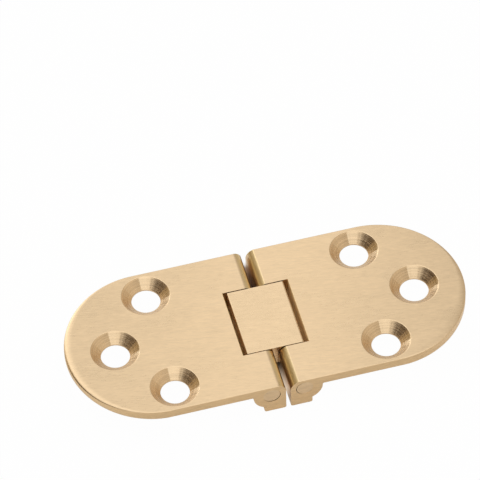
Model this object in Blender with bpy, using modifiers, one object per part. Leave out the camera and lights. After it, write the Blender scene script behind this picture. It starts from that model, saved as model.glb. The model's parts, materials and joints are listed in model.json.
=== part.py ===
"""Round-ended brass flap hinge with a bridge link between its two leaves.

Metres, +Z up. X runs along the hinge, Y along its pins. The hinge lies open and flat on the feet of
its knuckles: z = 0 is the foot plane, and the origin is in the middle of the hinge.
"""
import math

import bmesh
import bpy
from mathutils import Matrix

MM = 0.001

# Overall
LENGTH = 70.0 * MM
WIDTH = 30.0 * MM
HEIGHT = 6.2 * MM             # from the foot plane to the top face
PLATE = 1.8 * MM              # thickness of a leaf's plate
EDGE_EASE = 0.3 * MM          # rounding of the top edge all round a leaf

# Screw holes of a leaf, measured from its edges
SIDE_HOLE_FROM_END = 16.45 * MM
SIDE_HOLE_FROM_EDGE = 4.85 * MM
END_HOLE_FROM_END = 8.55 * MM
SCREW_HOLE = 4.9 * MM
COUNTERSINK = 8.3 * MM
COUNTERSINK_ANGLE = math.radians(90)

# Knuckle of a leaf: one brass profile across the width, with a boss round the pin
LEAF_GAP = 1.0 * MM           # between the two inner end faces
FRONT_ROUND = 1.5 * MM        # top edge of the inner end face
FOOT_LENGTH = 3.7 * MM        # from the inner end face
FOOT_CORNER = 0.35 * MM
BOSS_WALL = 0.3 * MM          # metal between the link's pocket and the outside of the boss
ROOT_FILLET = 0.25 * MM       # where the boss meets the plate's underside

# Pins
PIN_DIAMETER = 3.0 * MM
PIN_SPACING = 5.9 * MM
PIN_RECESS = 0.05 * MM        # how far a pin's ends lie inside the leaf's side faces
PIN_CHAMFER = 0.15 * MM
PIN_CLEARANCE = 0.08 * MM     # all round the pin, in the leaf and in the link
PIN_COVER = 0.5 * MM          # metal between the bore and the top face

# Link
LINK_WIDTH = 13.7 * MM
LINK_WALL = 0.5 * MM          # metal round the bore, at the end and below
LINK_CORNER = 0.5 * MM        # top edge at each end
LINK_SIDE_CLEARANCE = 0.1 * MM
LINK_SWING_CLEARANCE = 0.07 * MM

# Facets of the curved faces
END_SEGMENTS = 48
HOLE_SEGMENTS = 40
BORE_SEGMENTS = 32
FRONT_SEGMENTS = 6
EYE_SEGMENTS = 10             # boss, pocket and link, each about a pin
CORNER_SEGMENTS = 3
EASE_SEGMENTS = 3
SHARP_ANGLE = math.radians(35)

MARGIN = 1.0 * MM             # how far a cutter reaches past what it cuts

# Stands an XY outline up in XZ, and turns a cylinder's axis from Z to Y
STAND_UP = Matrix.Rotation(math.radians(90), 4, "X")

# Sizes that follow from those above
bore_radius = PIN_DIAMETER / 2 + PIN_CLEARANCE
pin_z = HEIGHT - PIN_COVER - bore_radius
pin_x = PIN_SPACING / 2
eye_radius = bore_radius + LINK_WALL
link_half_length = pin_x + eye_radius
inner_end = LEAF_GAP / 2
plate_underside = HEIGHT - PLATE


def swing_radius():
    """Reach of the link's rounded top corner from the pin that it turns on."""
    along = eye_radius - LINK_CORNER
    above = HEIGHT - pin_z - LINK_CORNER
    return math.hypot(along, above) + LINK_CORNER


pocket_radius = swing_radius() + LINK_SWING_CLEARANCE
pocket_width = LINK_WIDTH + 2 * LINK_SIDE_CLEARANCE
boss_radius = pocket_radius + BOSS_WALL


def clear_scene():
    for obj in list(bpy.data.objects):
        bpy.data.objects.remove(obj, do_unlink=True)


def new_collection(name):
    collection = bpy.data.collections.new(name)
    bpy.context.scene.collection.children.link(collection)
    return collection


def brass(name, colour, roughness):
    material = bpy.data.materials.new(name)
    material.use_nodes = True
    shader = material.node_tree.nodes["Principled BSDF"]
    shader.inputs["Base Color"].default_value = (*colour, 1.0)
    shader.inputs["Metallic"].default_value = 1.0
    shader.inputs["Roughness"].default_value = roughness
    return material


def arc(centre, radius, start, stop, segments):
    """Points on an arc, both ends included; angles in degrees, counter-clockwise from +X."""
    points = []
    for step in range(segments + 1):
        angle = math.radians(start + (stop - start) * step / segments)
        points.append((centre[0] + radius * math.cos(angle), centre[1] + radius * math.sin(angle)))
    return points


def outline_mesh(name, points, thickness):
    """Closed prism from a flat outline in XY, centred on its plane, with one face for each cap."""
    curve = bpy.data.curves.new(name + "_outline", "CURVE")
    curve.dimensions = "2D"
    curve.fill_mode = "BOTH"
    curve.extrude = thickness / 2
    spline = curve.splines.new("POLY")
    spline.points.add(len(points) - 1)
    for point, (x, y) in zip(spline.points, points):
        point.co = (x, y, 0.0, 1.0)
    spline.use_cyclic_u = True
    carrier = bpy.data.objects.new(name + "_outline", curve)
    bpy.context.scene.collection.objects.link(carrier)
    evaluated = carrier.evaluated_get(bpy.context.evaluated_depsgraph_get())
    mesh = bpy.data.meshes.new_from_object(evaluated)
    mesh.name = name
    bpy.data.objects.remove(carrier, do_unlink=True)
    bm = bmesh.new()
    bm.from_mesh(mesh)
    bmesh.ops.remove_doubles(bm, verts=bm.verts, dist=1e-6)
    bmesh.ops.dissolve_limit(bm, angle_limit=math.radians(0.5), verts=bm.verts, edges=bm.edges)
    bmesh.ops.recalc_face_normals(bm, faces=bm.faces)
    bm.to_mesh(mesh)
    bm.free()
    return mesh


def place(obj, collection, location):
    collection.objects.link(obj)
    obj.location = location
    return obj


def make_cutter(obj):
    obj.hide_render = True
    obj.display_type = "WIRE"
    return obj


def add_boolean(obj, operation, cutter):
    modifier = obj.modifiers.new(cutter.name, "BOOLEAN")
    modifier.operation = operation
    modifier.solver = "EXACT"
    modifier.object = cutter


def smooth_by_angle_group():
    """Node group that shades every face smooth and keeps the edges past SHARP_ANGLE sharp."""
    group = bpy.data.node_groups.new("smooth_by_angle", "GeometryNodeTree")
    group.interface.new_socket("Geometry", in_out="INPUT", socket_type="NodeSocketGeometry")
    group.interface.new_socket("Geometry", in_out="OUTPUT", socket_type="NodeSocketGeometry")
    nodes = group.nodes
    links = group.links
    source = nodes.new("NodeGroupInput")
    target = nodes.new("NodeGroupOutput")
    smooth_faces = nodes.new("GeometryNodeSetShadeSmooth")
    sharp_edges = nodes.new("GeometryNodeSetShadeSmooth")
    sharp_edges.domain = "EDGE"
    sharp_edges.inputs["Shade Smooth"].default_value = False
    edge_angle = nodes.new("GeometryNodeInputMeshEdgeAngle")
    is_sharp = nodes.new("FunctionNodeCompare")
    is_sharp.operation = "GREATER_THAN"
    is_sharp.inputs[1].default_value = SHARP_ANGLE
    links.new(source.outputs[0], smooth_faces.inputs[0])
    links.new(smooth_faces.outputs[0], sharp_edges.inputs[0])
    links.new(edge_angle.outputs["Unsigned Angle"], is_sharp.inputs[0])
    links.new(is_sharp.outputs[0], sharp_edges.inputs["Selection"])
    links.new(sharp_edges.outputs[0], target.inputs[0])
    return group


def plan_outline(side):
    """Leaf seen from above: straight sides and a semicircular end, open past the inner end face."""
    radius = WIDTH / 2
    centre = LENGTH / 2 - radius
    start = inner_end - MARGIN
    points = [(start, -radius)] + arc((centre, 0.0), radius, -90, 90, END_SEGMENTS) + [(start, radius)]
    return [(side * x, y) for x, y in points]


def knuckle_outline(side):
    """Leaf seen along its pin: end face, foot, boss round the pin and plate underside.

    Above the plate it runs clear of the top face, which comes from the plan outline's own prism.
    """
    front = inner_end
    foot_back = inner_end + FOOT_LENGTH
    boss_start = -math.degrees(math.acos((foot_back - pin_x) / boss_radius))
    fillet_z = plate_underside - ROOT_FILLET
    fillet_x = pin_x + math.sqrt((boss_radius + ROOT_FILLET) ** 2 - (fillet_z - pin_z) ** 2)
    boss_stop = math.degrees(math.atan2(fillet_z - pin_z, fillet_x - pin_x))
    points = [(front + FRONT_ROUND, HEIGHT + MARGIN)]
    points += arc((front + FRONT_ROUND, HEIGHT - FRONT_ROUND), FRONT_ROUND, 90, 180, FRONT_SEGMENTS)
    points += arc((front + FOOT_CORNER, FOOT_CORNER), FOOT_CORNER, 180, 270, CORNER_SEGMENTS)
    points += arc((foot_back - FOOT_CORNER, FOOT_CORNER), FOOT_CORNER, 270, 360, CORNER_SEGMENTS)
    points += arc((pin_x, pin_z), boss_radius, boss_start, boss_stop, EYE_SEGMENTS)
    points += arc((fillet_x, fillet_z), ROOT_FILLET, boss_stop + 180, 90, CORNER_SEGMENTS)
    points += [(LENGTH / 2 + MARGIN, plate_underside), (LENGTH / 2 + MARGIN, HEIGHT + MARGIN)]
    return [(side * x, z) for x, z in points]


def pocket_outline(side):
    """Room for the link, seen along the pin: upright down to the pin, round about it below."""
    start = inner_end - MARGIN
    floor = pin_z - pocket_radius
    points = [(start, HEIGHT + MARGIN), (start, floor)]
    points += arc((pin_x, pin_z), pocket_radius, 270, 360, EYE_SEGMENTS)
    points += [(pin_x + pocket_radius, HEIGHT + MARGIN)]
    return [(side * x, z) for x, z in points]


def ease_top_edge(mesh, plane, inner_limit):
    """Mark the top edges of the plan prism, apart from the one that is cut away, for the Bevel."""
    bm = bmesh.new()
    bm.from_mesh(mesh)
    weight = bm.edges.layers.float.new("bevel_weight_edge")
    for edge in bm.edges:
        on_top = all(abs(vert.co.z - plane) < 1e-6 for vert in edge.verts)
        outer = any(abs(vert.co.x) > inner_limit for vert in edge.verts)
        if on_top and outer:
            edge[weight] = 1.0
    bm.to_mesh(mesh)
    bm.free()


def countersink_mesh():
    """Turned cutter of one screw hole; its origin is on the top face."""
    slope = math.tan(COUNTERSINK_ANGLE / 2)
    sink_radius = COUNTERSINK / 2
    hole_radius = SCREW_HOLE / 2
    profile = [
        (0.0, MARGIN),
        (sink_radius + MARGIN * slope, MARGIN),
        (hole_radius, -(sink_radius - hole_radius) / slope),
        (hole_radius, -PLATE - MARGIN),
        (0.0, -PLATE - MARGIN),
    ]
    mesh = bpy.data.meshes.new("countersink")
    bm = bmesh.new()
    verts = [bm.verts.new((x, 0.0, z)) for x, z in profile]
    for first, second in zip(verts, verts[1:]):
        bm.edges.new((first, second))
    bm.to_mesh(mesh)
    bm.free()
    return mesh


def turn(obj, segments):
    screw = obj.modifiers.new("turn", "SCREW")
    screw.steps = segments
    screw.render_steps = segments
    screw.use_merge_vertices = True
    screw.merge_threshold = 1e-6


def profile_cutter(name, outline, thickness, cutters):
    """Cutter with its outline in XZ and its thickness along Y."""
    cutter = make_cutter(bpy.data.objects.new(name, outline_mesh(name, outline, thickness)))
    cutters.objects.link(cutter)
    cutter.matrix_world = STAND_UP
    return cutter


def cylinder_mesh(name, radius, length, segments):
    """Cylinder along Y, centred on its origin."""
    mesh = bpy.data.meshes.new(name)
    bm = bmesh.new()
    bmesh.ops.create_cone(
        bm, cap_ends=True, segments=segments, radius1=radius, radius2=radius, depth=length,
        matrix=STAND_UP,
    )
    bm.to_mesh(mesh)
    bm.free()
    return mesh


def make_leaf(name, side, parts, cutters):
    """One leaf: an eased plan prism, cut to the knuckle's profile, pocketed, bored and drilled."""
    depth = HEIGHT + MARGIN
    mesh = outline_mesh(name, plan_outline(side), depth)
    ease_top_edge(mesh, depth / 2, inner_end)
    mesh.transform(Matrix.Translation((-side * pin_x, 0.0, HEIGHT - depth / 2 - pin_z)))
    leaf = place(bpy.data.objects.new(name, mesh), parts, (side * pin_x, 0.0, pin_z))

    bevel = leaf.modifiers.new("ease", "BEVEL")
    bevel.limit_method = "WEIGHT"
    bevel.width = EDGE_EASE
    bevel.segments = EASE_SEGMENTS

    profile = profile_cutter(name + "_profile", knuckle_outline(side), WIDTH + 2 * MARGIN, cutters)
    add_boolean(leaf, "INTERSECT", profile)
    pocket = profile_cutter(name + "_pocket", pocket_outline(side), pocket_width, cutters)
    add_boolean(leaf, "DIFFERENCE", pocket)

    bore_mesh = cylinder_mesh(name + "_bore", bore_radius, WIDTH + 2 * MARGIN, BORE_SEGMENTS)
    bore = make_cutter(bpy.data.objects.new(name + "_bore", bore_mesh))
    place(bore, cutters, (side * pin_x, 0.0, pin_z))
    add_boolean(leaf, "DIFFERENCE", bore)

    side_x = LENGTH / 2 - SIDE_HOLE_FROM_END
    side_y = WIDTH / 2 - SIDE_HOLE_FROM_EDGE
    end_x = LENGTH / 2 - END_HOLE_FROM_END
    hole_mesh = countersink_mesh()
    for number, (x, y) in enumerate([(side_x, side_y), (side_x, -side_y), (end_x, 0.0)], 1):
        hole = make_cutter(bpy.data.objects.new(f"{name}_screw_hole_{number}", hole_mesh))
        place(hole, cutters, (side * x, y, HEIGHT))
        turn(hole, HOLE_SEGMENTS)
        add_boolean(leaf, "DIFFERENCE", hole)
    return leaf


def link_outline():
    """Link seen along its pins: flat top, eased corners, round eyes about both pins, flat bottom."""
    top = HEIGHT - pin_z
    corner_x = link_half_length - LINK_CORNER
    points = arc((corner_x, top - LINK_CORNER), LINK_CORNER, 0, 90, CORNER_SEGMENTS)
    points += arc((-corner_x, top - LINK_CORNER), LINK_CORNER, 90, 180, CORNER_SEGMENTS)
    points += arc((-pin_x, 0.0), eye_radius, 180, 270, EYE_SEGMENTS)
    points += arc((pin_x, 0.0), eye_radius, 270, 360, EYE_SEGMENTS)
    return points


def make_link(parts, cutters):
    """Bridge link, with its origin on the left pin's axis."""
    mesh = outline_mesh("link", link_outline(), LINK_WIDTH)
    mesh.transform(Matrix.Translation((pin_x, 0.0, 0.0)) @ STAND_UP)
    link = place(bpy.data.objects.new("link", mesh), parts, (-pin_x, 0.0, pin_z))
    bore_mesh = cylinder_mesh("link_bore", bore_radius, LINK_WIDTH + 2 * MARGIN, BORE_SEGMENTS)
    for label, side in (("left", -1), ("right", 1)):
        bore = make_cutter(bpy.data.objects.new(f"link_bore_{label}", bore_mesh))
        place(bore, cutters, (side * pin_x, 0.0, pin_z))
        add_boolean(link, "DIFFERENCE", bore)
    return link


def make_pin(name, side, parts):
    """Pin with chamfered ends, a little short of the leaf's side faces."""
    mesh = cylinder_mesh(name, PIN_DIAMETER / 2, WIDTH - 2 * PIN_RECESS, BORE_SEGMENTS)
    pin = place(bpy.data.objects.new(name, mesh), parts, (side * pin_x, 0.0, pin_z))
    bevel = pin.modifiers.new("chamfer", "BEVEL")
    bevel.limit_method = "ANGLE"
    bevel.angle_limit = math.radians(60)
    bevel.width = PIN_CHAMFER
    bevel.segments = 1
    return pin


def make_pivot(name, side, parts):
    pivot = bpy.data.objects.new(name, None)
    pivot.empty_display_size = PIN_DIAMETER
    return place(pivot, parts, (side * pin_x, 0.0, pin_z))


def attach(child, parent):
    """Parent without moving the child."""
    bpy.context.view_layer.update()
    child.parent = parent
    child.matrix_parent_inverse = parent.matrix_world.inverted()


def build():
    clear_scene()
    parts = new_collection("back_flap_hinge")
    cutters = new_collection("cutters")

    leaf_left = make_leaf("leaf_left", -1, parts, cutters)
    leaf_right = make_leaf("leaf_right", 1, parts, cutters)
    link = make_link(parts, cutters)
    pin_left = make_pin("pin_left", -1, parts)
    pin_right = make_pin("pin_right", 1, parts)

    satin = (0.74, 0.54, 0.30)
    leaf_left.data.materials.append(brass("leaf_left_satin_brass", satin, 0.42))
    leaf_right.data.materials.append(brass("leaf_right_satin_brass", satin, 0.42))
    link.data.materials.append(brass("link_satin_brass", (0.78, 0.57, 0.33), 0.38))
    pin_left.data.materials.append(brass("pin_left_brass", (0.66, 0.47, 0.25), 0.45))
    pin_right.data.materials.append(brass("pin_right_brass", (0.66, 0.47, 0.25), 0.45))

    left_pivot = make_pivot("left_pivot", -1, parts)
    right_pivot = make_pivot("right_pivot", 1, parts)
    attach(pin_left, leaf_left)
    attach(left_pivot, leaf_left)
    attach(link, left_pivot)
    attach(right_pivot, link)
    attach(leaf_right, right_pivot)
    attach(pin_right, right_pivot)

    smooth_by_angle = smooth_by_angle_group()
    for obj in (leaf_left, leaf_right, link, pin_left, pin_right):
        obj.modifiers.new("smooth_by_angle", "NODES").node_group = smooth_by_angle


build()
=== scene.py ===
import json
import math

import bmesh
import bpy
from mathutils import Matrix, Vector


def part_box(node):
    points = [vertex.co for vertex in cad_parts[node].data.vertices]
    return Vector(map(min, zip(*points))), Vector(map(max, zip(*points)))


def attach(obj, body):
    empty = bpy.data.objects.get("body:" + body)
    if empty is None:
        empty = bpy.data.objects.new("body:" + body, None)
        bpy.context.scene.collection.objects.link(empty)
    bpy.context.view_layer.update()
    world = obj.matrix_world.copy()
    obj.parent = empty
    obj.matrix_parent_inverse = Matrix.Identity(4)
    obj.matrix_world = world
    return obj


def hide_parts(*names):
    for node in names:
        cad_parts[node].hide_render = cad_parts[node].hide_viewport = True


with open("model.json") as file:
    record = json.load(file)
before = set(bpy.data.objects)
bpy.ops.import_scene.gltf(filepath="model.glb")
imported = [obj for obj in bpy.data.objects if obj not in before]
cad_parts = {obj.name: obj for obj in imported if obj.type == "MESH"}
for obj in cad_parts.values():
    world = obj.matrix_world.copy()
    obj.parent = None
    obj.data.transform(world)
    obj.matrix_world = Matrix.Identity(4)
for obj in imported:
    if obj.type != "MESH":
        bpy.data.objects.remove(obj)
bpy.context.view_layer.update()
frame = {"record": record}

MM = 0.001
SIDES = {-1: "left", 1: "right"}            # by the sign of X

# Sizes read from the frame
leaf_low, leaf_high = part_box("leaf_right")
pin_low, pin_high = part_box("pin_right")
link_low, link_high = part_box("link")
mounts = {mount["name"]: mount for mount in frame["record"]["mounts"]}
joints = {joint["name"]: joint for joint in frame["record"]["behaviour"]["joints"]}

HEIGHT = leaf_high[2]
HALF_WIDTH = leaf_high[1]
TIP = leaf_high[0]
INNER_END = leaf_low[0]
UNDERSIDE = mounts["underside_right"]["pos_m"][2]
PIN_X = joints["right_pivot"]["pos_m"][0]
PIN_Z = joints["right_pivot"]["pos_m"][2]
PIN_RADIUS = (pin_high[0] - pin_low[0]) / 2
PIN_END = pin_high[1] + 0.035 * MM          # all but flush with the knuckle's side face
LINK_END = link_high[0]
LINK_SIDE = link_high[1]
LINK_BOTTOM = link_low[2]

# Leaf's plate: the middle of its round end, and the width and fall of its eased edges
ROUND_END = TIP - HALF_WIDTH
SIDE_EASE = (0.14 * MM, 0.11 * MM)
TIP_EASE = {-1: (1.5 * MM, 0.36 * MM), 1: (1.7 * MM, 0.14 * MM)}
TIP_EASE_TURN = {-1: 0, 1: -45}             # where it is widest, in degrees from the tip towards +Y
TIP_EASE_START = 0.4                        # share of the outward direction along X where it is full
TIP_LOWER_EASE = {-1: (0.45 * MM, 0.8 * MM), 1: (0.15 * MM, 0.4 * MM)}
SIDE_FACE_IN = 0.002 * MM                   # from the CAD model's side to the visual one's

# Leaf's knuckle
FRONT_RADIUS = {-1: 1.5 * MM, 1: 2.1 * MM}
FRONT_TILT = {-1: 2, 1: 21}                 # where the round leaves the top face, in degrees
FRONT_BREAK = 0.6 * MM                      # radius that eases the round into the top face
END_FACE = INNER_END - 0.1 * MM
FOOT_LENGTH = 3.7 * MM
FOOT_CORNER = 0.35 * MM
BOSS_RADIUS = 3.1 * MM
ROOT_FILLET = 0.25 * MM
KNUCKLE_END = 7 * MM                        # no knuckle past this distance from the middle
CHEEK_EASE = 0.06 * MM                      # along the edges of the knuckle's side faces

# Pocket for the link
POCKET_END = {-1: 2.805 * MM, 1: 2.88 * MM}     # from the pin to the upright end wall
POCKET_RADIUS = 2.93 * MM
POCKET_EASE = 0.07 * MM
POCKET_SIDE = LINK_SIDE + 0.17 * MM

# Countersunk holes: their places on the right, and waves given as count, height and phase
HOLES = ((18.55 * MM, 10.15 * MM), (18.55 * MM, -10.15 * MM), (26.45 * MM, 0.0))
SCREW_RADIUS = 2.5 * MM
SINK_RADIUS = 4.15 * MM
SINK_DEPTH = 1.55 * MM
SINK_RIM = 0.15 * MM
SINK_RIDGES = ((6.3, 0.0035 * MM, 0.1), (9.7, 0.0028 * MM, 0.6))    # rings down the wall
SINK_CHATTER = ((23, 0.007 * MM, 0.2), (37, 0.004 * MM, 0.7))       # lobes round the wall
RIDGE_FADE = 0.08                           # share of the wall over which the rings fade in
CHATTER_FADE = 1 / 6

# Small pits in the top faces: part, X and Y
PITS = (("leaf_right", 6.9 * MM, 0.7 * MM), ("link", 1.1 * MM, -3.8 * MM))
PIT_WIDTH = 0.3 * MM
PIT_DEPTH = 0.05 * MM

# Link and pins
LINK_CORNER = {-1: 0.15 * MM, 1: 0.32 * MM}
LINK_EASE = 0.05 * MM
PIN_CHAMFER = 0.04 * MM
PIN_DISH = 0.004 * MM
PIN_RINGS = 8                               # rings on the ground end
PIN_WAVE = 1.9                              # turn of the end's unevenness from ring to ring

# Where each bore lies off its pin, which leaves a dark crescent
BORE_RADIUS = 1.51 * MM
BORE_SHIFT = {-1: (0.06 * MM, -0.075 * MM), 1: (-0.085 * MM, 0.045 * MM)}

# How far blanks and cutters reach past the finished faces
OVERRUN = 1 * MM
BLANK_OVERRUN = 2 * MM

# Camera in front of the hinge and above it, a little to the left
LENS = 350.0
CAMERA_AT = (-116.5 * MM, -479.1 * MM, 626.5 * MM + HEIGHT)
CAMERA_AZIMUTH = math.radians(13.22)
CAMERA_ELEVATION = math.radians(50.84)
CAMERA_ROLL = math.radians(-2.05)

# Metal colours
BRASS = (0.806, 0.604, 0.376)
WARM_BRASS = (0.800, 0.580, 0.330)
# Painted shade: an olive tint on the knuckle fronts for the shaded, brass-tinted light they reflect
OLIVE_SHADE_BRASS = (0.780, 0.600, 0.330)
# Painted light: a pale non-metal colour that lets the pocket's walls scatter light in the slots in place
# of the brass's reflections; the deep parts still take real shade
POCKET_LIGHT_BRASS = (1.0, 0.74, 0.38)
# Painted shade: a dark brown that stands for the shade on the left leaf's steep front corner
CORNER_SHADE_BRASS = (0.34, 0.22, 0.09)

# Studio colours
DARK_SIDE = (0.05, 0.03, 0.015)
OLIVE_WALL = (0.39, 0.305, 0.175)
WARM_WALL = (0.68, 0.60, 0.50)
CREAM_WALL = (0.77, 0.70, 0.61)
# Painted shade: the floor's brown in the gap and close to it, which also takes the real shadow
GAP_FLOOR_SHADE = (0.34, 0.27, 0.25)

# Softbox above the far side
SOFTBOX_AT = (0.031, 0.115, 0.163)
SOFTBOX_SIZE = (0.035, 0.16)
SOFTBOX_RADIANCE = 0.36

# Brightness of the floor to the camera, and a painted glow that only reflections in the brass see
FLOOR_SEEN = 0.98
FLOOR_MIRRORED = (0.12, 0.36)               # in front of the hinge and under it
GAP_MIRRORED = 1.15                         # in the gap between the leaves

# Stretches of the floor, each from where its effect starts to where it is full
BESIDE_GAP = (1.5 * MM, 6 * MM)             # off the middle of the gap
NEAR_END = (-5 * MM, 2.5 * MM - HALF_WIDTH)
FAR_END = (HALF_WIDTH + 1.0 * MM, HALF_WIDTH + 2.8 * MM)
UNDER_HINGE = (-HALF_WIDTH - 2 * MM, -HALF_WIDTH + 2 * MM)
IN_GAP = (1.5 * MM, 1.0 * MM)
WELL_IN_GAP = (1 * MM - HALF_WIDTH, 4.5 * MM - HALF_WIDTH)

# Grain of the finishes
GRAIN_TURN = -10.0                          # of the brushing on the top faces, in degrees
DOWN_THE_WALL = "down_the_wall"

# What tells a leaf's faces apart: shares of their normals, and widths of the bands where they lie
FLAT = 0.985                                # along Z, from which a face is level
WALL = 0.5                                  # along Z, below which a face stands up
KNUCKLE_SLOPE = 0.25                        # along X, from which a face is part of the knuckle
STEEP = 0.80                                # along X, from which the front is the end face, painted in shade on the left leaf unless upright
UPRIGHT = 0.999                             # along X, from which it is the end face
SINK_BAND = 0.07 * MM                       # outside the countersinks
SIDE_BAND = 0.2 * MM                        # inside the straight side faces
TIP_BAND = 0.3 * MM                         # inside the round end
FRONT_BAND = 0.6 * MM                       # behind the knuckle's end
HAIR = 1e-6                                 # less than this apart is flush


# Outlines and bodies

def arc(centre, radius, start, stop, segments):
    """Points on an arc, both ends included; angles in degrees, counter-clockwise from +X."""
    points = []
    for step in range(segments + 1):
        angle = math.radians(start + (stop - start) * step / segments)
        points.append((centre[0] + radius * math.cos(angle), centre[1] + radius * math.sin(angle)))
    return points


def quarter_round(width, fall, steps):
    """Points of an eased edge as distances inwards and downwards, from the side face to the top."""
    points = []
    for step in range(steps + 1):
        angle = math.pi / 2 * step / steps
        points.append((width * (1 - math.cos(angle)), fall * (1 - math.sin(angle))))
    return points


def ripple(share, waves):
    """Sum of waves, each given as count, height and phase, at a share of the way."""
    return sum(height * math.sin(math.tau * (count * share + phase)) for count, height, phase in waves)


def without_repeats(points):
    kept = []
    for point in points:
        if not kept or math.dist(point, kept[-1]) > 1e-7:
            kept.append(point)
    if math.dist(kept[0], kept[-1]) < 1e-7:
        kept.pop()
    return kept


def area(points):
    total = 0.0
    for (x0, y0), (x1, y1) in zip(points, points[1:] + points[:1]):
        total += x0 * y1 - x1 * y0
    return total / 2


def inset(points, distance):
    """The same closed outline with every edge moved inwards."""
    turn = 1.0 if area(points) > 0 else -1.0
    moved = []
    for index, point in enumerate(points):
        before = Vector(point) - Vector(points[index - 1])
        after = Vector(points[(index + 1) % len(points)]) - Vector(point)
        before.normalize()
        after.normalize()
        normal_before = Vector((-before.y, before.x)) * turn
        normal_after = Vector((-after.y, after.x)) * turn
        miter = (normal_before + normal_after) / (1.0 + normal_before.dot(normal_after))
        moved.append(tuple(Vector(point) + miter * distance))
    return moved


def loft(name, rings):
    """Closed body through rings of equal length, with one face at each end."""
    mesh = bpy.data.meshes.new(name)
    bm = bmesh.new()
    loops = [[bm.verts.new(point) for point in ring] for ring in rings]
    count = len(loops[0])
    for low, high in zip(loops, loops[1:]):
        for index in range(count):
            after = (index + 1) % count
            bm.faces.new((low[index], low[after], high[after], high[index]))
    bm.faces.new(list(reversed(loops[0])))
    bm.faces.new(loops[-1])
    bmesh.ops.recalc_face_normals(bm, faces=bm.faces)
    bm.to_mesh(mesh)
    bm.free()
    return mesh


def stood_up(outline, y):
    return [(x, y, z) for x, z in outline]


def prism(name, outline, half_length, ease, steps=3):
    """Outline in XZ drawn along Y, with the edges of its two ends rounded."""
    points = without_repeats(outline)
    ends = [(0.0, 0.0)]
    if ease > 0:
        ends = quarter_round(ease, ease, steps)
    loops = [stood_up(inset(points, inwards), back - half_length) for inwards, back in reversed(ends)]
    loops += [stood_up(inset(points, inwards), half_length - back) for inwards, back in ends]
    return loft(name, loops)


def lathe(name, profile, segments, swell=None):
    """Closed body turned about Z, whose radius may swell with the angle and the height.

    The profile's first and last points lie on the axis.
    """
    mesh = bpy.data.meshes.new(name)
    bm = bmesh.new()
    rings = []
    for radius, z in profile:
        if radius < 1e-9:
            rings.append([bm.verts.new((0.0, 0.0, z))])
            continue
        ring = []
        for step in range(segments):
            angle = math.tau * step / segments
            full = radius + (swell(angle, z) if swell else 0.0)
            ring.append(bm.verts.new((full * math.cos(angle), full * math.sin(angle), z)))
        rings.append(ring)
    for low, high in zip(rings, rings[1:]):
        for step in range(segments):
            after = step + 1
            corners = [low[step % len(low)], low[after % len(low)]]
            corners += [high[after % len(high)], high[step % len(high)]]
            bm.faces.new(list(dict.fromkeys(corners)))
    bmesh.ops.recalc_face_normals(bm, faces=bm.faces)
    bm.to_mesh(mesh)
    bm.free()
    return mesh


def cylinder_along_y(name, radius, half_length, x, z, segments=96):
    outline = arc((x, z), radius, 0, 360, segments)
    return prism(name, outline, half_length, 0.0)


def new_object(name, mesh):
    obj = bpy.data.objects.new(name, mesh)
    bpy.context.scene.collection.objects.link(obj)
    return obj


def cut(body, cutter_mesh, operation="DIFFERENCE"):
    """Apply one Boolean to an object and drop the cutter."""
    cutter = new_object("cutter", cutter_mesh)
    modifier = body.modifiers.new("cut", "BOOLEAN")
    modifier.operation = operation
    modifier.solver = "EXACT"
    modifier.object = cutter
    evaluated = body.evaluated_get(bpy.context.evaluated_depsgraph_get())
    mesh = bpy.data.meshes.new_from_object(evaluated)
    body.modifiers.clear()
    body.data = mesh
    bpy.data.objects.remove(cutter, do_unlink=True)


def finish_shading(obj, sharp_degrees=32):
    """Smooth faces, sharp edges past the angle, and normals led by the large flat faces."""
    bm = bmesh.new()
    bm.from_mesh(obj.data)
    bmesh.ops.remove_doubles(bm, verts=bm.verts, dist=2e-7)
    bmesh.ops.dissolve_degenerate(bm, edges=bm.edges, dist=1e-7)
    for face in bm.faces:
        face.smooth = True
    for edge in bm.edges:
        edge.smooth = not (edge.is_manifold and edge.calc_face_angle() > math.radians(sharp_degrees))
    bm.to_mesh(obj.data)
    bm.free()
    weighted = obj.modifiers.new("weighted_normals", "WEIGHTED_NORMAL")
    weighted.mode = "FACE_AREA"
    weighted.weight = 90
    weighted.keep_sharp = True


# Leaves

def leaf_edge(straight_steps=13, round_steps=96):
    """Points round a leaf seen from above, each with its outward direction."""
    start = INNER_END - BLANK_OVERRUN
    straight = [start + (ROUND_END - start) * step / straight_steps for step in range(straight_steps)]
    edge = [(x, -HALF_WIDTH, 0.0, -1.0) for x in straight]
    for step in range(round_steps + 1):
        angle = math.radians(-90 + 180 * step / round_steps)
        nx, ny = math.cos(angle), math.sin(angle)
        edge.append((ROUND_END + HALF_WIDTH * nx, HALF_WIDTH * ny, nx, ny))
    edge += [(x, HALF_WIDTH, 0.0, 1.0) for x in reversed(straight)]
    return edge


def tip_share(nx, ny, side):
    """How much of the tip's ease an edge has that faces this way, with none along the sides."""
    away = math.atan2(ny, nx) - math.radians(TIP_EASE_TURN[side])
    return max(0.0, math.cos(away)) ** 2 * min(1.0, nx / TIP_EASE_START)


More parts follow.
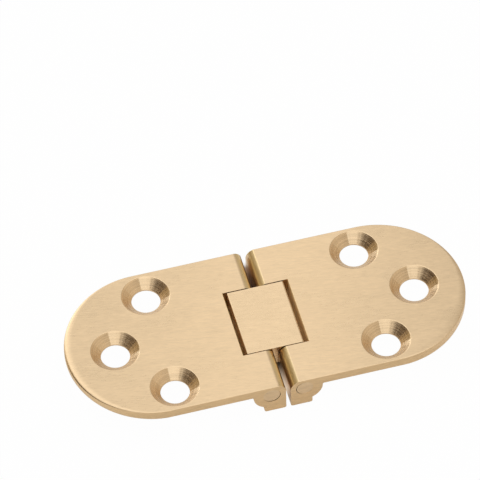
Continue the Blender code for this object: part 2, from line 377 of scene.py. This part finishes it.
def leaf_blank(name, side, steps=7):
    """Leaf seen from above, its edges rounded more towards the tip."""
    edge = leaf_edge()
    width, rise = TIP_LOWER_EASE[side]
    levels = [(width, -BLANK_OVERRUN)]
    levels += [(inwards, UNDERSIDE + up) for inwards, up in reversed(quarter_round(width, rise, steps))]
    rings = []
    for eased, z in levels:
        ring = []
        for x, y, nx, ny in edge:
            inwards = eased * nx * nx
            ring.append((side * (x - nx * inwards), y - ny * inwards, z))
        rings.append(ring)
    for share_in, share_down in quarter_round(1.0, 1.0, steps):
        ring = []
        for x, y, nx, ny in edge:
            share = tip_share(nx, ny, side)
            width = SIDE_EASE[0] + (TIP_EASE[side][0] - SIDE_EASE[0]) * share
            fall = SIDE_EASE[1] + (TIP_EASE[side][1] - SIDE_EASE[1]) * share
            inwards = width * share_in
            ring.append((side * (x - nx * inwards), y - ny * inwards, HEIGHT - fall * share_down))
        rings.append(ring)
    return loft(name, rings)


def knuckle_outline(side):
    """Leaf seen along its pin: end face, foot, boss round the pin and plate underside."""
    foot_back = INNER_END + FOOT_LENGTH
    boss_start = -math.degrees(math.acos((foot_back - PIN_X) / BOSS_RADIUS))
    fillet_z = UNDERSIDE - ROOT_FILLET
    fillet_x = PIN_X + math.sqrt((BOSS_RADIUS + ROOT_FILLET) ** 2 - (fillet_z - PIN_Z) ** 2)
    boss_stop = math.degrees(math.atan2(fillet_z - PIN_Z, fillet_x - PIN_X))
    radius, tilt = FRONT_RADIUS[side], math.radians(FRONT_TILT[side])
    drop = FRONT_BREAK * (1 - math.cos(tilt))
    centre = (END_FACE + radius, HEIGHT - drop - radius * math.cos(tilt))
    front = arc(centre, radius, 90 + FRONT_TILT[side], 180, 32)
    ease_x = front[0][0] + FRONT_BREAK * math.sin(tilt)
    ease = arc((ease_x, HEIGHT - FRONT_BREAK), FRONT_BREAK, 90, 90 + FRONT_TILT[side], 5)
    points = [(ease_x, HEIGHT + OVERRUN)] + ease + front
    points += arc((END_FACE + FOOT_CORNER, FOOT_CORNER), FOOT_CORNER, 180, 270, 8)
    points += arc((foot_back - FOOT_CORNER, FOOT_CORNER), FOOT_CORNER, 270, 360, 8)
    points += arc((PIN_X, PIN_Z), BOSS_RADIUS, boss_start, boss_stop, 28)
    points += arc((fillet_x, fillet_z), ROOT_FILLET, boss_stop + 180, 90, 6)
    points += [(TIP + OVERRUN, UNDERSIDE), (TIP + OVERRUN, HEIGHT + OVERRUN)]
    return [(side * x, z) for x, z in points]


def pocket_outline(side):
    """Pocket seen along the pin: round the link's swing below, upright at its end, open above."""
    start = INNER_END - OVERRUN
    end = PIN_X + POCKET_END[side]
    lip = math.degrees(math.acos(POCKET_END[side] / POCKET_RADIUS))
    points = [(start, HEIGHT + OVERRUN), (start, PIN_Z - POCKET_RADIUS)]
    points += arc((PIN_X, PIN_Z), POCKET_RADIUS, 270, 360 + lip, 32)
    points += [(end, HEIGHT - POCKET_EASE), (end + POCKET_EASE, HEIGHT)]
    points.append((end + POCKET_EASE, HEIGHT + OVERRUN))
    return [(side * x, z) for x, z in points]


def countersink_profile(steps=40, rim_steps=4):
    """Cone with the uneven ridges of the cutter, a rounded rim and a short straight land."""
    profile = [(0.0, OVERRUN), (SINK_RADIUS + SINK_RIM, OVERRUN)]
    slope = math.radians(45)
    for step in range(rim_steps + 1):
        angle = slope * step / rim_steps
        out = SINK_RIM * (1 - math.sin(angle) / math.sin(slope))
        profile.append((SINK_RADIUS + out, -SINK_RIM * (1 - math.cos(angle))))
    start = profile[-1][1]
    for step in range(1, steps + 1):
        along = step / steps
        from_ends = min(along, 1 - along, RIDGE_FADE)
        ridge = ripple(along, SINK_RIDGES) * math.sin(math.pi / 2 * from_ends / RIDGE_FADE)
        radius = SINK_RADIUS - (SINK_RADIUS - SCREW_RADIUS) * along + ridge
        profile.append((radius, start * (1 - along) - SINK_DEPTH * along))
    below = UNDERSIDE - HEIGHT - OVERRUN
    return profile + [(SCREW_RADIUS, below), (0.0, below)]


def chatter(angle, z):
    """Lobes that the cutter's chatter leaves round the cone, none at its rim and foot."""
    along = -z / SINK_DEPTH
    from_ends = min(along, 1 - along) / CHATTER_FADE
    return ripple(angle / math.tau, SINK_CHATTER) * max(0.0, min(1.0, from_ends))


def cut_pits(body, part):
    """The part's pits, each a shallow dish."""
    above = 0.02 * MM
    radius = PIT_WIDTH / 2
    profile = [(0.0, above), (radius, above), (radius, 0.0), (radius / 2, -0.8 * PIT_DEPTH)]
    profile.append((0.0, -PIT_DEPTH))
    for pitted, x, y in PITS:
        if pitted == part:
            pit = lathe("pit", profile, 16)
            pit.transform(Matrix.Translation((x, y, HEIGHT)))
            cut(body, pit)


def make_leaf(name, side):
    leaf = new_object(name, leaf_blank(name, side))
    section = prism("profile", knuckle_outline(side), HALF_WIDTH - SIDE_FACE_IN, CHEEK_EASE)
    cut(leaf, section, "INTERSECT")
    cut(leaf, prism("pocket", pocket_outline(side), POCKET_SIDE, 0.0))
    bore_x = side * PIN_X + BORE_SHIFT[side][0]
    bore_z = PIN_Z + BORE_SHIFT[side][1]
    cut(leaf, cylinder_along_y("bore", BORE_RADIUS, HALF_WIDTH + OVERRUN, bore_x, bore_z))
    for x, y in HOLES:
        sink = lathe("sink", countersink_profile(), 192, chatter)
        sink.transform(Matrix.Translation((side * x, y, HEIGHT)))
        cut(leaf, sink)
    cut_pits(leaf, "leaf_" + SIDES[side])
    return leaf


# Link and pins

def link_outline():
    """Link seen along the pins: a flat top with its two corners and an eye round each pin."""
    eye = PIN_Z - LINK_BOTTOM
    left, right = LINK_CORNER[-1], LINK_CORNER[1]
    points = arc((LINK_END - right, HEIGHT - right), right, 0, 90, 12)
    points += arc((left - LINK_END, HEIGHT - left), left, 90, 180, 12)
    points += arc((-PIN_X, PIN_Z), eye, 180, 270, 24)
    points += arc((PIN_X, PIN_Z), eye, 270, 360, 24)
    return points


def make_link(name):
    link = new_object(name, prism(name, link_outline(), LINK_SIDE, LINK_EASE))
    for side in SIDES:
        cut(link, cylinder_along_y("bore", BORE_RADIUS, LINK_SIDE + OVERRUN, side * PIN_X, PIN_Z))
    cut_pits(link, "link")
    return link


def make_pin(name, side):
    """Pin with a ground, faintly dished end and a small chamfer."""
    flat = PIN_RADIUS - PIN_CHAMFER
    half = [(PIN_RADIUS, PIN_END - PIN_CHAMFER)]
    half.append((PIN_RADIUS - 0.3 * PIN_CHAMFER, PIN_END - 0.3 * PIN_CHAMFER))
    half.append((flat, PIN_END))
    for ring in range(1, PIN_RINGS):
        half.append((flat * (1 - ring / PIN_RINGS), PIN_END - PIN_DISH * math.sin(ring * PIN_WAVE)))
    half.append((0.0, PIN_END - PIN_DISH))
    profile = [(radius, -z) for radius, z in reversed(half)] + half
    mesh = lathe(name, profile, 96)
    stand = Matrix.Translation((side * PIN_X, 0.0, PIN_Z)) @ Matrix.Rotation(math.pi / 2, 4, "X")
    mesh.transform(stand)
    return new_object(name, mesh)


# Nodes

def grey(level):
    return (level, level, level)


class Nodes:
    """Short calls for building the nodes of a material or of the world."""

    def __init__(self, tree):
        self.tree = tree

    def new(self, kind):
        return self.tree.nodes.new(kind)

    def link(self, source, target):
        self.tree.links.new(source, target)

    def fill(self, target, value):
        """Feed an input with a socket, a colour or a number."""
        if isinstance(value, bpy.types.NodeSocket):
            self.link(value, target)
        elif isinstance(value, tuple):
            target.default_value = (*value, 1)
        else:
            target.default_value = value

    def calc(self, operation, *values):
        node = self.new("ShaderNodeMath")
        node.operation = operation
        for target, value in zip(node.inputs, values):
            self.fill(target, value)
        return node.outputs[0]

    def weighted_sum(self, *terms):
        total = None
        for value, weight in terms:
            scaled = self.calc("MULTIPLY", value, weight)
            total = scaled if total is None else self.calc("ADD", total, scaled)
        return total

    def mapped(self, value, start, stop, low=0.0, high=1.0, kind="LINEAR"):
        """The value's way from start to stop, as one from low to high that ends there."""
        node = self.new("ShaderNodeMapRange")
        node.interpolation_type = kind
        self.fill(node.inputs["Value"], value)
        self.fill(node.inputs["From Min"], start)
        self.fill(node.inputs["From Max"], stop)
        self.fill(node.inputs["To Min"], low)
        self.fill(node.inputs["To Max"], high)
        return node.outputs["Result"]

    def smooth_step(self, value, start, stop):
        return self.mapped(value, start, stop, kind="SMOOTHSTEP")

    def ramp(self, value, stops):
        """Colours by the value of one direction component, which runs from -1 to 1."""
        node = self.new("ShaderNodeValToRGB")
        elements = node.color_ramp.elements
        for element, (place, colour) in zip((elements[0], elements[1]), (stops[0], stops[-1])):
            element.position = (place + 1) / 2
            element.color = (*colour, 1)
        for place, colour in stops[1:-1]:
            element = elements.new((place + 1) / 2)
            element.color = (*colour, 1)
        self.link(self.calc("MULTIPLY_ADD", value, 0.5, 0.5), node.inputs["Fac"])
        return node.outputs["Color"]

    def mixed(self, share, first, second, blend="MIX"):
        """The first colour where the share is 0 and the second, or their blend, where it is 1."""
        node = self.new("ShaderNodeMix")
        node.data_type = "RGBA"
        node.blend_type = blend
        self.fill(node.inputs["Factor"], share)
        self.fill(node.inputs["A"], first)
        self.fill(node.inputs["B"], second)
        return node.outputs["Result"]

    def tinted(self, colour, change):
        """The colour made lighter and darker by the change."""
        return self.mixed(1.0, colour, self.calc("ADD", change, 1.0), "MULTIPLY")

    def mixed_shader(self, share, first, second):
        node = self.new("ShaderNodeMixShader")
        for target, source in zip(node.inputs, (share, first, second)):
            self.link(source, target)
        return node.outputs[0]

    def components(self, kind):
        """X, Y and Z of one kind of texture coordinates."""
        split = self.new("ShaderNodeSeparateXYZ")
        self.link(self.new("ShaderNodeTexCoord").outputs[kind], split.inputs[0])
        return split.outputs

    def noise(self, lengths, detail=2.0, seed=0.0, roughness=0.5, turn=0.0):
        """Noise stretched to the given lengths in millimetres, turned about Z; its middle is 0."""
        mapping = self.new("ShaderNodeMapping")
        mapping.vector_type = "TEXTURE"
        mapping.inputs["Scale"].default_value = [length * MM for length in lengths]
        mapping.inputs["Rotation"].default_value = (0.0, 0.0, math.radians(turn))
        mapping.inputs["Location"].default_value = (seed * 0.0131, seed * 0.0117, seed * 0.0193)
        self.link(self.new("ShaderNodeTexCoord").outputs["Object"], mapping.inputs["Vector"])
        texture = self.new("ShaderNodeTexNoise")
        texture.inputs["Scale"].default_value = 1.0
        texture.inputs["Detail"].default_value = detail
        texture.inputs["Roughness"].default_value = roughness
        self.link(mapping.outputs["Vector"], texture.inputs["Vector"])
        return self.calc("SUBTRACT", texture.outputs["Fac"], 0.5)

    def bump(self, height):
        node = self.new("ShaderNodeBump")
        node.inputs["Strength"].default_value = 1.0
        node.inputs["Distance"].default_value = 1.0
        self.link(height, node.inputs["Height"])
        return node.outputs["Normal"]


# Finishes

def new_finish(name):
    material = bpy.data.materials.new(name)
    material.use_nodes = True
    return material, Nodes(material.node_tree), material.node_tree.nodes["Principled BSDF"]


def brushed_brass(
    name, roughness, along, across, seed,
    contrast=1.0, colour=BRASS, metallic=1.0, specular=0.5, turn=0.0,
):
    """Fine lines drawn along one direction, with broader, softer bands of the same direction."""
    material, nodes, shader = new_finish(name)

    def lines(length, width, detail, own_seed, noise_roughness):
        lengths = [long * length + wide * width for long, wide in zip(along, across)]
        return nodes.noise(lengths, detail, own_seed, noise_roughness, turn)

    fine = lines(1.1, 0.17, 3.0, seed, 0.6)
    medium = lines(3.5, 0.5, 2.0, seed + 1, 0.5)
    mottle = lines(1.7, 0.9, 2.0, seed + 3, 0.5)
    broad = nodes.noise((9.0, 5.0, 5.0), 1.0, seed + 2)
    change = nodes.weighted_sum(
        (fine, 0.30 * contrast), (medium, 0.10 * contrast), (mottle, 0.10 * contrast), (broad, 0.10),
    )
    nodes.link(nodes.tinted(colour, change), shader.inputs["Base Color"])
    rough = nodes.calc("ADD", nodes.weighted_sum((fine, 0.12), (broad, 0.08)), roughness)
    nodes.link(rough, shader.inputs["Roughness"])
    relief = nodes.weighted_sum((fine, 0.0064 * MM * contrast), (medium, 0.003 * MM * contrast))
    nodes.link(nodes.bump(relief), shader.inputs["Normal"])
    shader.inputs["Metallic"].default_value = metallic
    shader.inputs["Specular IOR Level"].default_value = specular
    return material


def turned_brass(name, roughness, seed):
    """Rings left by the countersink, which lie level round the hole."""
    material, nodes, shader = new_finish(name)
    rings = nodes.noise((60.0, 60.0, 0.17), 2.0, seed)
    wide_rings = nodes.noise((40.0, 40.0, 0.35), 1.0, seed + 1)
    patches = nodes.noise((1.4, 1.4, 0.5), 2.0, seed + 2)
    change = nodes.weighted_sum((rings, 0.60), (wide_rings, 0.25), (patches, 0.12))
    nodes.link(nodes.tinted(BRASS, change), shader.inputs["Base Color"])
    rough = nodes.calc("ADD", nodes.weighted_sum((rings, 0.15), (patches, 0.1)), roughness)
    nodes.link(rough, shader.inputs["Roughness"])
    relief = nodes.weighted_sum((rings, 0.004 * MM), (wide_rings, 0.012 * MM))
    nodes.link(nodes.bump(relief), shader.inputs["Normal"])
    tangent = nodes.new("ShaderNodeTangent")
    tangent.direction_type = "UV_MAP"
    tangent.uv_map = DOWN_THE_WALL
    nodes.link(tangent.outputs["Tangent"], shader.inputs["Tangent"])
    shader.inputs["Anisotropic"].default_value = 0.95
    shader.inputs["Metallic"].default_value = 1.0
    return material


ALONG_X = ((1, 0, 0), (0, 1, 1))            # direction of the lines, and the two across it
ALONG_Y = ((0, 1, 0), (1, 0, 1))
ALONG_Z = ((0, 0, 1), (1, 1, 0))

leaf_finishes = {
    "top": brushed_brass("brushed_top", 0.30, *ALONG_X, 0.0, turn=GRAIN_TURN),
    # Drawn grain, with the knuckle fronts' shade painted in as an olive tint
    "drawn": brushed_brass("drawn_knuckle_olive_shade", 0.30, *ALONG_Y, 10.0, 0.8, OLIVE_SHADE_BRASS),
    "side": brushed_brass("milled_side", 0.36, *ALONG_X, 20.0, 1.2, WARM_BRASS),
    "sink": turned_brass("turned_countersink", 0.26, 30.0),
    # Painted light in the slots: the pocket's walls are a pale non-metal that stands in for their
    # reflections
    "pocket": brushed_brass("milled_pocket_painted_light", 0.5, *ALONG_Y, 60.0, 0.8, POCKET_LIGHT_BRASS, 0.0, 0.0),
    "end": brushed_brass("sawn_end", 0.34, *ALONG_Z, 70.0),
    # Painted shade on the left leaf's steep front corner, with the brushed grain on top
    "steep": brushed_brass("painted_shade_corner", 0.46, *ALONG_Y, 80.0, 1.0, CORNER_SHADE_BRASS),
}
link_finish = brushed_brass("brushed_link", 0.28, *ALONG_X, 40.0, turn=GRAIN_TURN)
pin_finish = brushed_brass("ground_pin_end", 0.30, *ALONG_X, 50.0)


def nearest_hole(x, y, side):
    """Middle of the leaf's hole nearest to a point, and how far off it lies."""
    middles = [(side * hole_x, hole_y) for hole_x, hole_y in HOLES]
    middle = min(middles, key=lambda at: math.dist(at, (x, y)))
    return middle, math.dist(middle, (x, y))


def finish_of(face, side):
    """Name of the finish that one face of a leaf has."""
    x, y, z = face.center
    normal = face.normal
    if nearest_hole(x, y, side)[1] < SINK_RADIUS + SINK_BAND and abs(normal.z) < FLAT:
        return "sink"
    if abs(z - HEIGHT) > HAIR and abs(normal.z) < WALL:
        past_middle = abs(x) - ROUND_END
        if abs(y) > HALF_WIDTH - SIDE_BAND:
            return "side"
        if past_middle > 0 and math.hypot(past_middle, y) > HALF_WIDTH - TIP_BAND:
            return "side"
    if abs(normal.x) <= KNUCKLE_SLOPE or abs(x) >= KNUCKLE_END:
        return "top"
    if abs(x) < INNER_END + FRONT_BAND and abs(normal.x) > STEEP:
        # Painted shade on the left leaf's steep front; the upright end face keeps plain brass
        return "steep" if side < 0 and abs(normal.x) < UPRIGHT else "end"
    if abs(y) < POCKET_SIDE - HAIR:
        return "pocket"
    return "drawn"


def paint_leaf(leaf, side):
    """Brushed top and underside, drawn knuckle with an olive tint of painted shade, milled side faces,
    turned countersinks, a pocket with painted light and a left front corner in painted shade.
    """
    for material in leaf_finishes.values():
        leaf.data.materials.append(material)
    names = list(leaf_finishes)
    for face in leaf.data.polygons:
        face.material_index = names.index(finish_of(face, side))


def lay_turned_grain(leaf, side):
    """UV layer on the countersinks whose first direction runs down the wall, across the rings."""
    layer = leaf.data.uv_layers.new(name=DOWN_THE_WALL)
    for face in leaf.data.polygons:
        if leaf.data.materials[face.material_index] != leaf_finishes["sink"]:
            continue
        hole = Vector(nearest_hole(face.center.x, face.center.y, side)[0])
        outwards = face.center.xy - hole
        for index in face.loop_indices:
            corner = leaf.data.vertices[leaf.data.loops[index].vertex_index].co
            turn = outwards.angle_signed(corner.xy - hole)
            layer.data[index].uv = ((HEIGHT - corner.z) / MM, turn * SINK_RADIUS / MM)


# Camera, light and floor

def add_camera():
    data = bpy.data.cameras.new("camera")
    data.lens = LENS
    data.sensor_width = 36.0
    data.clip_start = 0.01
    camera = new_object("camera", data)
    turn = Matrix.Rotation(-CAMERA_AZIMUTH, 4, "Z")
    tilt = Matrix.Rotation(math.pi / 2 - CAMERA_ELEVATION, 4, "X")
    roll = Matrix.Rotation(CAMERA_ROLL, 4, "Z")
    camera.matrix_world = Matrix.Translation(CAMERA_AT) @ turn @ tilt @ roll
    bpy.context.scene.camera = camera


def add_world():
    """Pale studio with a dark, warm side to the left and a cream wall to the right.

    X, Y and Z are a direction's parts to the right, away from the camera and upwards.
    """
    world = bpy.data.worlds.new("studio")
    bpy.context.scene.world = world
    world.use_nodes = True
    world.node_tree.nodes.clear()
    nodes = Nodes(world.node_tree)
    x, y, z = nodes.components("Generated")
    behind = nodes.ramp(x, (
        (-0.50, grey(1.55)), (-0.25, grey(1.42)), (-0.10, grey(1.22)), (0.02, grey(0.98)),
        (0.09, grey(0.91)), (0.145, grey(0.81)), (0.20, (0.68, 0.67, 0.66)),
        (0.32, (0.54, 0.52, 0.49)), (0.60, (0.58, 0.53, 0.46)), (0.90, WARM_WALL),
    ))
    before = nodes.ramp(x, (
        (-0.60, (0.84, 0.82, 0.79)), (-0.45, (0.90, 0.88, 0.86)), (-0.30, grey(1.12)),
        (0.15, grey(1.10)), (0.23, (0.60, 0.54, 0.46)), (0.75, CREAM_WALL),
    ))
    left = nodes.ramp(z, (
        (0.05, (0.27, 0.20, 0.13)), (0.20, (0.22, 0.16, 0.10)), (0.32, DARK_SIDE),
        (0.70, DARK_SIDE), (0.78, (0.35, 0.30, 0.24)), (0.86, grey(1.10)),
    ))

    # The brightest part lies low behind the hinge, left of its middle
    high_key = nodes.mixed(nodes.smooth_step(x, -0.05, -0.22), behind, grey(1.9))
    behind = nodes.mixed(nodes.smooth_step(y, 0.70, 0.85), behind, high_key)

    # The dark side turns olive towards the back, where its edge leans to the left
    left_behind = nodes.mixed(nodes.smooth_step(y, 0.36, 0.52), left, OLIVE_WALL)
    leaning = nodes.calc("ADD", x, nodes.mapped(y, 0.64, 0.82, 0.0, 0.22))
    behind = nodes.mixed(nodes.smooth_step(leaning, -0.34, -0.48), behind, left_behind)
    before = nodes.mixed(nodes.smooth_step(x, -0.56, -0.70), before, left)

    around = nodes.mixed(nodes.smooth_step(y, 0.15, -0.15), behind, before)
    colour = nodes.mixed(nodes.smooth_step(z, 0.84, 0.94), around, grey(1.2))
    studio = nodes.new("ShaderNodeBackground")
    nodes.link(colour, studio.inputs["Color"])
    white = nodes.new("ShaderNodeBackground")
    white.inputs["Color"].default_value = (1, 1, 1, 1)
    camera_ray = nodes.new("ShaderNodeLightPath").outputs["Is Camera Ray"]
    seen = nodes.mixed_shader(camera_ray, studio.outputs[0], white.outputs[0])
    nodes.link(seen, nodes.new("ShaderNodeOutputWorld").inputs["Surface"])


def add_softbox(name):
    """Rectangular lamp above the hinge, facing it."""
    data = bpy.data.lights.new(name, "AREA")
    data.shape = "RECTANGLE"
    data.size, data.size_y = SOFTBOX_SIZE
    data.energy = SOFTBOX_RADIANCE * data.size * data.size_y * math.pi
    lamp = new_object(name, data)
    lamp.location = SOFTBOX_AT
    lamp.rotation_euler = (-Vector(SOFTBOX_AT)).to_track_quat("-Z", "Y").to_euler()


def floor_material():
    """White to the camera away from the hinge; close to it and in its gap, painted shade in brown that
    also takes the real shadow.
    """
    material = bpy.data.materials.new("floor")
    material.use_nodes = True
    material.node_tree.nodes.clear()
    nodes = Nodes(material.node_tree)
    x, y, _ = nodes.components("Object")
    off_gap = nodes.calc("ABSOLUTE", x)
    ends = nodes.calc("MAXIMUM", nodes.smooth_step(off_gap, *BESIDE_GAP), nodes.smooth_step(y, *NEAR_END))
    open_floor = nodes.calc("MAXIMUM", ends, nodes.smooth_step(y, *FAR_END))
    diffuse = nodes.new("ShaderNodeBsdfDiffuse")
    # Painted shade: the brown floor colour in the gap and close to the knuckle
    nodes.link(nodes.mixed(open_floor, GAP_FLOOR_SHADE, grey(0.86)), diffuse.inputs["Color"])

    # Painted reflections: the polished brass sees a dim glow on the floor, and a bright glowing strip
    # through the gap
    dim = nodes.mapped(y, *UNDER_HINGE, *FLOOR_MIRRORED)
    strip = nodes.mapped(off_gap, *IN_GAP, 0.0, GAP_MIRRORED)
    bright = nodes.calc("MULTIPLY", strip, nodes.smooth_step(y, *WELL_IN_GAP))
    path = nodes.new("ShaderNodeLightPath")
    brightest = nodes.calc("MAXIMUM", dim, bright)
    mirrored = nodes.calc("MULTIPLY", path.outputs["Is Glossy Ray"], brightest)
    seen = nodes.calc("MULTIPLY_ADD", path.outputs["Is Camera Ray"], FLOOR_SEEN, mirrored)
    share = nodes.calc("MULTIPLY", seen, open_floor)
    glow = nodes.new("ShaderNodeEmission")
    surface = nodes.mixed_shader(share, diffuse.outputs[0], glow.outputs[0])
    nodes.link(surface, nodes.new("ShaderNodeOutputMaterial").inputs["Surface"])
    return material


def add_floor():
    mesh = bpy.data.meshes.new("floor")
    bm = bmesh.new()
    bmesh.ops.create_grid(bm, x_segments=1, y_segments=1, size=2.0)
    bm.to_mesh(mesh)
    bm.free()
    floor = new_object("floor", mesh)
    mesh.materials.append(floor_material())


add_camera()
add_world()
add_softbox("softbox")
add_floor()

for side, word in SIDES.items():
    leaf = make_leaf("leaf_" + word + "_brass", side)
    paint_leaf(leaf, side)
    lay_turned_grain(leaf, side)
    finish_shading(leaf)
    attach(leaf, "leaf_" + word)
    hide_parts("leaf_" + word)
    pin = make_pin("pin_" + word + "_brass", side)
    pin.data.materials.append(pin_finish)
    finish_shading(pin)
    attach(pin, "leaf_" + word)
    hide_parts("pin_" + word)

link_piece = make_link("link_brass")
link_piece.data.materials.append(link_finish)
finish_shading(link_piece)
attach(link_piece, "link")
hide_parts("link")

scene = bpy.context.scene
scene.view_settings.view_transform = "Standard"
